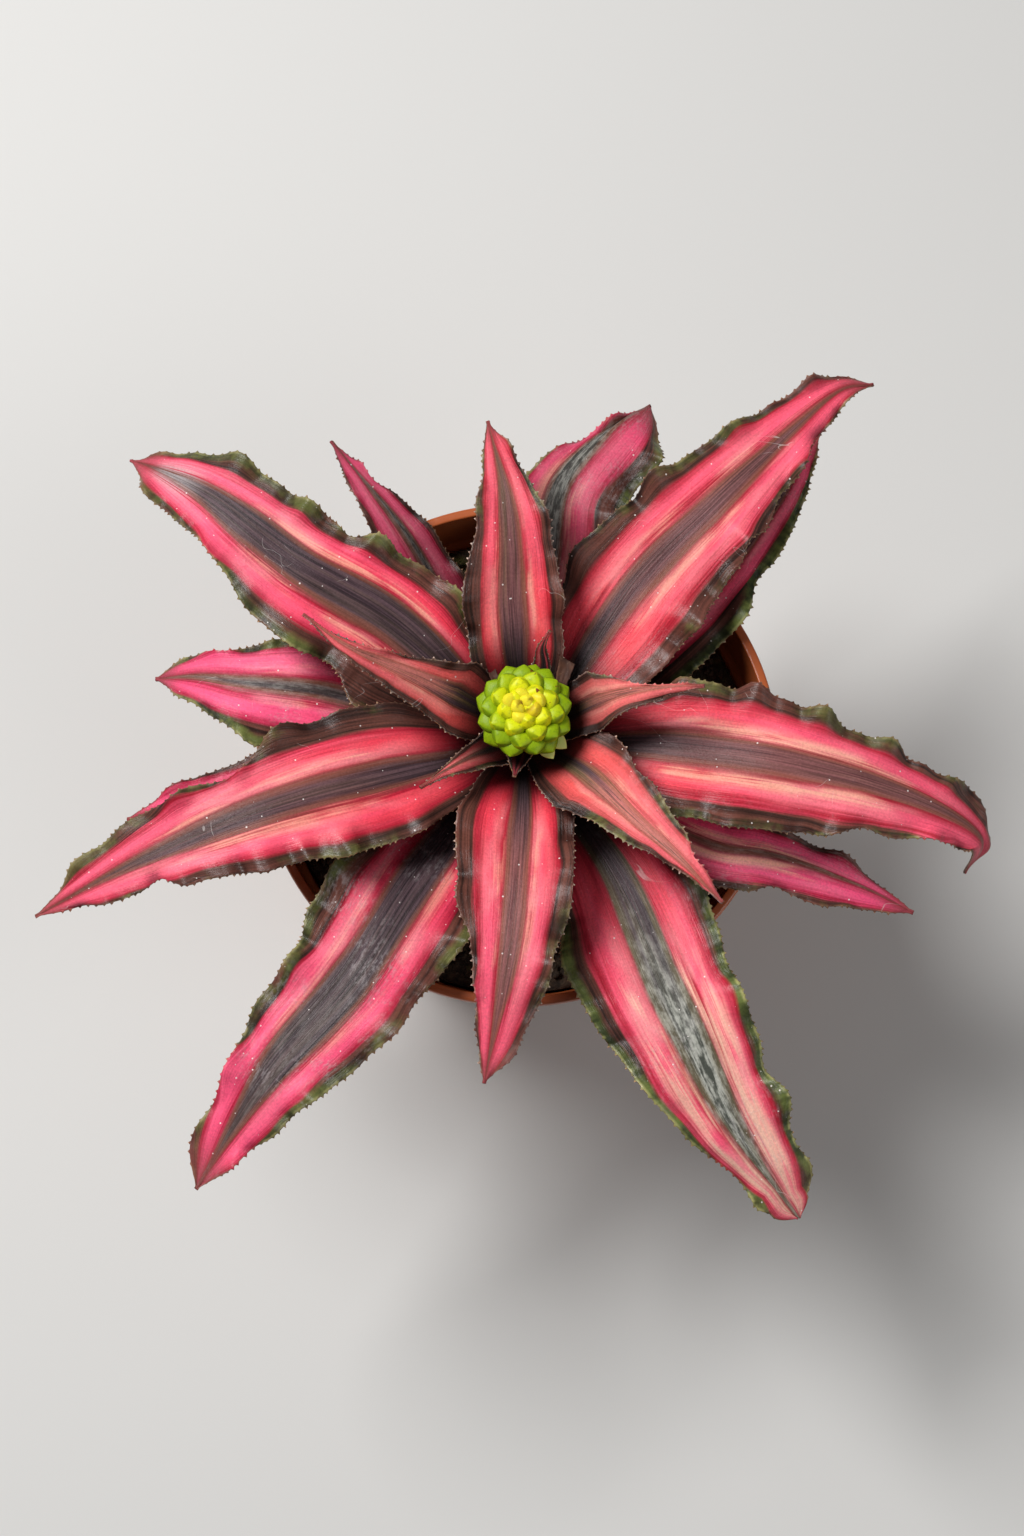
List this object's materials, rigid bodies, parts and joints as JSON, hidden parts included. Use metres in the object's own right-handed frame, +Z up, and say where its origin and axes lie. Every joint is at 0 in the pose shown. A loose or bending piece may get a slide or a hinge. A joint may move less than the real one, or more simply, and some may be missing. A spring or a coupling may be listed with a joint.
{
  "type": "earth star bromeliad in a pot",
  "caption": "Low rosette of stiff, wavy-edged, striped leaves round a dense green flower head, rooted in soil in a tapered round pot.",
  "frame": {"origin": "middle of the pot's underside, on the surface it stands on", "axes": "+Z up along the pot's axis, +X to the right and +Y away from the viewer, as the plant is shown"},
  "size_m": [0.2168, 0.1973, 0.1305],
  "materials": {
    "pot": "satin",
    "soil": "matte",
    "stem": "matte",
    "leaf": "satin",
    "dry_bract": "matte",
    "flower_head": "satin"
  },
  "bodies": {
    "root": {"pot": "pot", "soil": "soil", "stem": "stem", "leaf_low_west": "leaf", "leaf_low_back_right": "leaf", "leaf_low_left": "leaf", "leaf_low_right": "leaf", "leaf_low_back_left": "leaf", "leaf_low_back": "leaf", "leaf_front_right": "leaf", "leaf_front_left": "leaf", "leaf_back_right": "leaf", "leaf_back_left": "leaf", "leaf_right": "leaf", "leaf_left": "leaf", "leaf_mid_back": "leaf", "leaf_mid_front": "leaf", "leaf_inner_left": "leaf", "leaf_inner_front": "leaf", "leaf_inner_right": "leaf", "leaf_heart_front": "leaf", "leaf_heart_back": "leaf", "leaf_heart_low": "leaf", "dry_bract_right": "dry_bract", "dry_bract_left": "dry_bract", "flower_head": "flower_head"}
  },
  "joints": []
}
